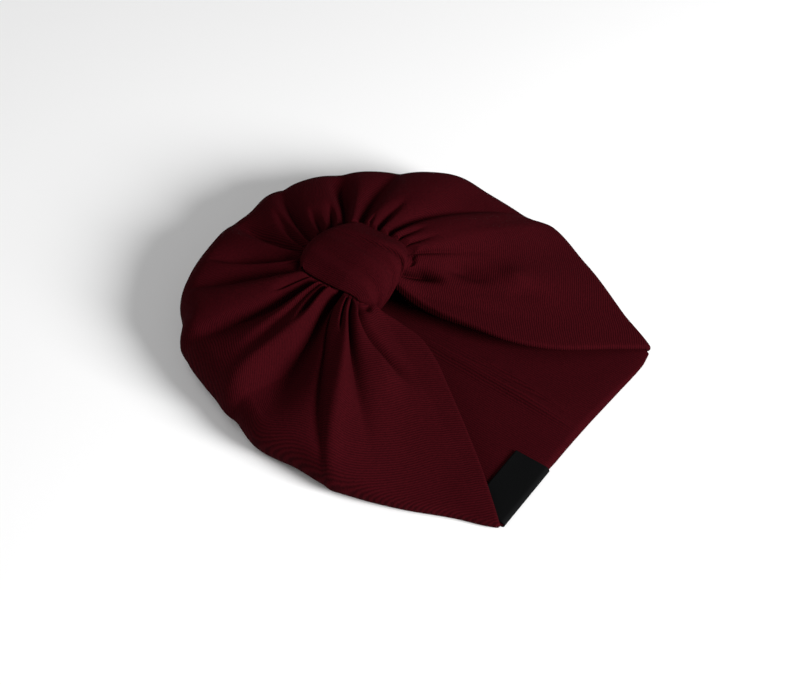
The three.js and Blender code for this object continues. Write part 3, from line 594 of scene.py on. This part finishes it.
def back_point(turn, share, face, inset):
    """A point of the back, from the curl's foot to the rim, with the creases on its inner face."""
    foot = curl_point(turn, np.ones_like(turn))
    across = 1 - np.clip(turn, 0, 1)
    rim_x = RIM_SHIFT + (across - 0.5) * (RIM_WIDTH - 2 * TIP_RADIUS)
    rim_y = -HALF_DEPTH - rim_out(across)
    rim = np.stack([rim_x, rim_y, np.zeros_like(rim_x)], -1)
    point = lerp(foot, rim, (1 - (1 - share) ** 2)[..., None])
    to_rim = point[..., 1] - rim_y
    roll = edge_round(to_rim, ROLL_REACH * RIM_ROLL)
    off = (point[..., 0] - KNOT[0] - CREASE_WIDTH / 2) / (CREASE_WIDTH / 2)
    to_end = KNOT[1] + CREASE_END - point[..., 1]
    fade = smooth(to_rim / CREASE_RIM_FADE) * smooth(to_end / CREASE_CROWN_FADE)
    crease = CREASE_HEIGHT * np.exp(-off * off) * fade
    thick = CLOTH + (RIM_ROLL - CLOTH) * roll + crease
    nip = np.maximum(edge_round(to_rim, RIM_ROLL / 2), edge_round(inset, WING_ROLL / 2))
    eased = (1 - smooth(to_rim / RIM_EASE)) ** 2 * (RIM_ROLL - CLOTH)
    thick = thick - eased * (face == "inner")
    thick = thick + side_crease(point[..., 0] - KNOT[0], to_rim) * (face == "inner")
    lift = nip * (thick / 2 - NOSE)
    point[..., 2] = lift if face == "outer" else thick - lift
    return point


class Shell:
    """Collects points with their places on the flat knit, and faces."""

    def __init__(self):
        self.points = []
        self.flat = []
        self.faces = []
        self.count = 0

    def add(self, points, flat):
        shape = points.shape[:-1]
        self.points.append(points.reshape(-1, 3))
        self.flat.append(np.asarray(flat).reshape(-1, 2))
        numbers = np.arange(self.count, self.count + int(np.prod(shape))).reshape(shape)
        self.count += numbers.size
        return numbers

    def grid(self, numbers, flip=False):
        a, b = numbers[:-1, :-1], numbers[:-1, 1:]
        c, d = numbers[1:, 1:], numbers[1:, :-1]
        quads = np.stack([a, b, c, d] if flip else [a, d, c, b], -1)
        self.faces += [tuple(q) for q in quads.reshape(-1, 4).tolist()]

    def zip(self, first, second):
        i = j = 0
        m, n = len(first) - 1, len(second) - 1
        while i < m or j < n:
            if j == n or (i < m and (i + 1) / m <= (j + 1) / n):
                self.faces.append((first[i], first[i + 1], second[j]))
                i += 1
            else:
                self.faces.append((first[i], second[j + 1], second[j]))
                j += 1

    def build(self, name, material):
        points = np.concatenate(self.points) * MM
        flat = np.concatenate(self.flat)
        mesh = bpy.data.meshes.new(name)
        mesh.from_pydata(points.tolist(), [], self.faces)
        mesh.validate()
        layer = mesh.uv_layers.new(name="knit")
        corners = np.zeros(len(mesh.loops), np.int32)
        mesh.loops.foreach_get("vertex_index", corners)
        layer.data.foreach_set("uv", flat[corners].astype(np.float32).ravel())
        mesh.polygons.foreach_set("use_smooth", [True] * len(mesh.polygons))
        mesh.materials.append(material)
        made = bpy.data.objects.new(name, mesh)
        bpy.context.scene.collection.objects.link(made)
        return made


def stages_of(top, curl, back):
    """Grid rows: stages 0 to 1 are the front, 1 to 2 the curl and 2 to 3 the back."""
    parts = [
        np.arange(top) / top,
        1 + np.arange(curl) / curl,
        2 + np.arange(back + 1) / back,
    ]
    return np.concatenate(parts)


def lines_of(columns):
    """Grid lines, crowded towards the wings' edges."""
    folds = len(FOLDS) + 1
    even = np.linspace(0, folds, columns + 1)
    return np.unique(np.concatenate([even, EDGE_COLUMNS, folds - EDGE_COLUMNS]))


def make_cap(material):
    """The cap: a fine outer and a coarser inner face, joined along their edges."""
    shell = Shell()
    rows = (OUTER_TOP_ROWS, OUTER_CURL_ROWS, OUTER_BACK_ROWS)
    fine = stages_of(*rows)
    coarse = stages_of(*(count // INNER_SHARE for count in rows))
    outer = shell.add(*cloth_face(lines_of(OUTER_COLUMNS), fine, "outer"))
    inner = shell.add(*cloth_face(lines_of(OUTER_COLUMNS // INNER_SHARE), coarse, "inner"))
    shell.grid(outer)
    shell.grid(inner, flip=True)
    shell.zip(inner[:, 0].tolist(), outer[:, 0].tolist())
    shell.zip(outer[:, -1].tolist(), inner[:, -1].tolist())
    shell.zip(inner[-1].tolist(), outer[-1].tolist())
    return shell.build("cloth_cap", material)


def make_band(material):
    """The band, with the rolled ring along its right side and soft tucks beside it."""
    share = np.linspace(0, 1, BAND_ROWS + 1)
    centre, out, half, arch = band_frame(share)
    x = np.sin((np.arange(BAND_COLUMNS) / BAND_COLUMNS * 2 - 1) * math.pi / 2)
    rings, flats = [], []
    for side in (1, -1):
        across = np.broadcast_to(x * side, (BAND_ROWS + 1, BAND_COLUMNS))
        hump = np.sqrt(np.maximum(1 - np.abs(across) ** BAND_FLATNESS, 0))
        lift = BAND_THICKNESS / 2 * hump * side - arch[:, None] * across**2
        if side > 0:
            lift = lift + band_relief(across, share[:, None]) * hump
        p = centre[:, None] + out[:, None] * lift[..., None]
        p[..., 1] += band_end(across) * smooth(1 - share / END_SHARE)[:, None]
        p[..., 0] += half[:, None] * across
        rings.append(p)
        length = share[:, None] * BAND_KNIT_LENGTH * np.ones_like(across)
        flats.append(np.stack([across * half[:, None], length], -1))
    shell = Shell()
    numbers = shell.add(np.concatenate(rings, 1), np.concatenate(flats, 1))
    closed = np.concatenate([numbers, numbers[:, :1]], 1)
    shell.grid(closed)
    shell.faces.append(tuple(numbers[0].tolist()))
    shell.faces.append(tuple(numbers[-1][::-1].tolist()))
    return shell.build("cloth_band", material)


def band_relief(across, share):
    """Height of the ring, of the furrow beside it and of the soft tucks."""
    line = RING_LINE + RING_SWERVE * smooth((share - RING_SWERVE_FROM) / RING_SWERVE_OVER)
    furrow = RING_FURROW_DEPTH * np.exp(-(((across - line) / RING_FURROW_WIDTH) ** 2))
    furrow = furrow * smooth((share - RING_FURROW_FROM) / RING_OVER)
    ring = RING_HEIGHT * np.exp(-(((across - line - RING_BESIDE) / RING_WIDTH) ** 2))
    ring = ring * smooth((share - RING_FROM) / RING_OVER)
    tucks = TUCK_HEIGHT * np.sin(across * TUCK_WAVES + TUCK_START + share * TUCK_LEAN)
    fine = FINE_TUCK_HEIGHT * np.sin(across * FINE_TUCK_WAVES + share * FINE_TUCK_LEAN)
    fade = smooth((line - across) / TUCK_FADE) * smooth((share - TUCK_FROM) / TUCK_OVER)
    return ring - furrow + (tucks + fine) * fade


def make_tab(material):
    """The blank tab, a thin strip folded over the rim."""
    under = TAB_THICKNESS + GAP
    fold = RIM_ROLL / 2
    middle = under + fold
    reach = fold + GAP + TAB_THICKNESS / 2
    top_end = under + CLOTH + GAP + TAB_THICKNESS / 2
    turn = np.linspace(-math.pi / 2, math.pi / 2, TAB_TURN_POINTS)
    lower = np.linspace(1, TAB_UNDER_END, TAB_UNDER_POINTS)
    upper = np.linspace(TAB_TOP_START, 1, TAB_TOP_POINTS)
    path = [(TAB_LEAF * s, TAB_THICKNESS / 2) for s in lower]
    path += [(fold - reach * math.cos(t), middle + reach * math.sin(t)) for t in turn]
    path += [(TAB_LEAF * s, lerp(middle + reach, top_end, smooth(s))) for s in upper]
    path = np.array(path)
    way = np.gradient(path, axis=0)
    way /= np.linalg.norm(way, axis=1, keepdims=True)
    normal = np.stack([way[:, 1], -way[:, 0]], 1)
    ring = np.concatenate(
        [path + normal * TAB_THICKNESS / 2, (path - normal * TAB_THICKNESS / 2)[::-1]]
    )
    run = np.concatenate([[0], np.cumsum(np.linalg.norm(np.diff(path, axis=0), axis=1))])
    run = np.concatenate([run, run[::-1]])
    x = TAB_MIDDLE - TAB_LENGTH / 2 + np.linspace(0, TAB_LENGTH, TAB_COLUMNS)
    points = np.zeros((len(x), len(ring), 3))
    points[..., 0] = x[:, None]
    points[..., 1] = ring[:, 0] - HALF_DEPTH
    points[..., 2] = ring[:, 1]
    flat = np.stack(np.broadcast_arrays(x[:, None], run[None]), -1)
    shell = Shell()
    numbers = shell.add(points, flat)
    shell.grid(np.concatenate([numbers, numbers[:, :1]], 1), flip=True)
    shell.faces.append(tuple(numbers[0][::-1].tolist()))
    shell.faces.append(tuple(numbers[-1].tolist()))
    return shell.build("woven_tab", material)


def new_material(name):
    material = bpy.data.materials.new(name)
    material.use_nodes = True
    return material, material.node_tree, material.node_tree.nodes["Principled BSDF"]


def math_node(tree, operation, *values):
    node = tree.nodes.new("ShaderNodeMath")
    node.operation = operation
    for socket, value in zip(node.inputs, values):
        if isinstance(value, (int, float)):
            socket.default_value = value
        else:
            tree.links.new(value, socket)
    return node.outputs[0]


def noise_node(tree, place, scale, detail=None):
    node = tree.nodes.new("ShaderNodeTexNoise")
    node.inputs["Scale"].default_value = scale
    if detail is not None:
        node.inputs["Detail"].default_value = detail
    tree.links.new(place, node.inputs["Vector"])
    return node.outputs[0]


def mix_node(tree, share, first, second):
    """The first colour where share is 0, and the second where it is 1."""
    node = tree.nodes.new("ShaderNodeMix")
    node.data_type = "RGBA"
    node.inputs[6].default_value = first
    node.inputs[7].default_value = second
    tree.links.new(share, node.inputs[0])
    return node.outputs[2]


def bump_node(tree, height, strength, distance):
    node = tree.nodes.new("ShaderNodeBump")
    node.inputs["Strength"].default_value = strength
    node.inputs["Distance"].default_value = distance
    tree.links.new(height, node.inputs["Height"])
    return node.outputs[0]


def flat_place(tree):
    """Each point's place on the flat knit, whole and split into across and along."""
    flat = tree.nodes.new("ShaderNodeUVMap")
    flat.uv_map = "knit"
    split = tree.nodes.new("ShaderNodeSeparateXYZ")
    tree.links.new(flat.outputs[0], split.inputs[0])
    return flat.outputs[0], split.outputs[0], split.outputs[1]


def object_place(tree):
    return tree.nodes.new("ShaderNodeTexCoord").outputs["Object"]


def wave_of(tree, phase):
    """A sine between 0 and 1."""
    return math_node(tree, "MULTIPLY_ADD", math_node(tree, "SINE", phase), 0.5, 0.5)


def knit_material(name, pitch, relief):
    """Dark wine rib knit: ribs along the cloth with painted shade in the grooves between them, fine
    stitches and slight random changes of tone.
    """
    material, tree, shader = new_material(name)
    flat, across, _ = flat_place(tree)
    place = object_place(tree)
    wander = math_node(tree, "MULTIPLY", noise_node(tree, flat, RIB_WANDER_SCALE), RIB_WANDER)
    jitter = math_node(tree, "MULTIPLY", noise_node(tree, flat, RIB_JITTER_SCALE), RIB_JITTER)
    moved = math_node(tree, "ADD", across, math_node(tree, "ADD", wander, jitter))
    rib = wave_of(tree, math_node(tree, "MULTIPLY", moved, 2 * math.pi / pitch))

    mottle = noise_node(tree, place, MOTTLE_SCALE, MOTTLE_DETAIL)
    grains = noise_node(tree, place, GRAIN_SCALE, GRAIN_DETAIL)
    # the ribs' height also darkens the colour in their grooves: painted shade
    painted_shade_and_mottle = math_node(tree, "MULTIPLY", rib, RIB_PAINTED_SHADE)
    painted_shade_and_mottle = math_node(tree, "ADD", painted_shade_and_mottle, math_node(tree, "MULTIPLY", mottle, MOTTLE_SHADE))
    grain = math_node(tree, "MULTIPLY_ADD", grains, GRAIN_SHADE, GRAIN_BASE)
    colour = mix_node(tree, math_node(tree, "ADD", painted_shade_and_mottle, grain), WINE_DARK, WINE_LIGHT)
    tree.links.new(colour, shader.inputs["Base Color"])

    fuzz = noise_node(tree, place, FUZZ_SCALE)
    height = math_node(tree, "MULTIPLY_ADD", fuzz, FUZZ_HEIGHT, rib)
    tree.links.new(bump_node(tree, height, relief, KNIT_BUMP), shader.inputs["Normal"])
    shader.inputs["Roughness"].default_value = 0.92
    shader.inputs["Specular IOR Level"].default_value = 0.015
    return material


def tab_material():
    """Black woven ribbon with a faint twill."""
    material, tree, shader = new_material("woven_tab")
    _, across, along = flat_place(tree)
    twill = math_node(tree, "ADD", across, along)
    level = wave_of(tree, math_node(tree, "MULTIPLY", twill, TWILL_WAVES))
    tree.links.new(mix_node(tree, level, TAB_DARK, TAB_LIGHT), shader.inputs["Base Color"])
    tree.links.new(bump_node(tree, level, TAB_RELIEF, TAB_BUMP), shader.inputs["Normal"])
    shader.inputs["Roughness"].default_value = 0.8
    shader.inputs["Specular IOR Level"].default_value = 0.03
    return material


def floor_material():
    """A plain pale ground with a barely seen change of shade."""
    material, tree, shader = new_material("pale_floor")
    noise = noise_node(tree, object_place(tree), FLOOR_SCALE)
    tree.links.new(mix_node(tree, noise, FLOOR_DARK, FLOOR_LIGHT), shader.inputs["Base Color"])
    shader.inputs["Roughness"].default_value = 1.0
    shader.inputs["Specular IOR Level"].default_value = 0.0
    return material


def view_axes():
    """The camera's right, up and back."""
    azimuth = math.radians(CAMERA_AZIMUTH)
    elevation = math.radians(CAMERA_ELEVATION)
    level = math.cos(elevation)
    back = np.array([math.sin(azimuth) * level, -math.cos(azimuth) * level, math.sin(elevation)])
    right = np.array([math.cos(azimuth), math.sin(azimuth), 0.0])
    return np.array([right, np.cross(back, right), back])


def turn_away(made, back):
    """Turns a camera or a light so that it looks the opposite way to back."""
    made.rotation_mode = "QUATERNION"
    made.rotation_quaternion = (-Vector(back)).to_track_quat("-Z", "Y")


def make_camera():
    data = bpy.data.cameras.new("camera")
    data.lens = CAMERA_LENS
    data.sensor_width = CAMERA_SENSOR
    data.clip_start = CAMERA_NEAR
    data.clip_end = CAMERA_FAR
    camera = bpy.data.objects.new("camera", data)
    bpy.context.scene.collection.objects.link(camera)
    back = Vector(view_axes()[2])
    camera.location = Vector(CAMERA_TARGET) + back * CAMERA_DISTANCE
    turn_away(camera, back)
    bpy.context.scene.camera = camera


def area_light(name, place, size, power):
    """A round soft light that looks from its place to the origin."""
    data = bpy.data.lights.new(name, "AREA")
    data.shape = "DISK"
    data.size = size
    data.energy = power
    light = bpy.data.objects.new(name, data)
    light.location = place
    turn_away(light, place)
    bpy.context.scene.collection.objects.link(light)


def make_floor():
    mesh = bpy.data.meshes.new("floor")
    signs = [(-1, -1), (1, -1), (1, 1), (-1, 1)]
    corners = [(x * FLOOR_REACH, y * FLOOR_REACH, -FLOOR_DROP) for x, y in signs]
    mesh.from_pydata(corners, [], [(0, 1, 2, 3)])
    mesh.materials.append(floor_material())
    floor = bpy.data.objects.new("floor", mesh)
    bpy.context.scene.collection.objects.link(floor)


def make_lights():
    key = KEY_WAY @ view_axes() + np.array([0, 0, KEY_LIFT])
    fill = FILL_WAY @ view_axes()
    area_light("key_light", tuple(key * KEY_DISTANCE), KEY_SIZE, KEY_POWER)
    area_light("fill_light", tuple(fill * FILL_DISTANCE), FILL_SIZE, FILL_POWER)
    world = bpy.data.worlds.new("studio")
    world.use_nodes = True
    background = world.node_tree.nodes["Background"]
    background.inputs["Color"].default_value = (1, 1, 1, 1)
    background.inputs["Strength"].default_value = WORLD_POWER
    bpy.context.scene.world = world
    bpy.context.scene.view_settings.view_transform = "Standard"


def attach(piece, node):
    """Lets a piece stand in for a node of the solids: hangs it on the root body and hides that
    node.
    """
    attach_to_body(piece, "root")
    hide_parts(node)


def main():
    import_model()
    cap = make_cap(knit_material("knit_cap", RIB_PITCH, CAP_RELIEF))
    band = make_band(knit_material("knit_band", BAND_RIB_PITCH, BAND_RELIEF))
    attach(cap, "cap")
    attach(band, "knot_band")
    attach(make_tab(tab_material()), "side_tab")
    make_floor()
    make_lights()
    make_camera()


main()
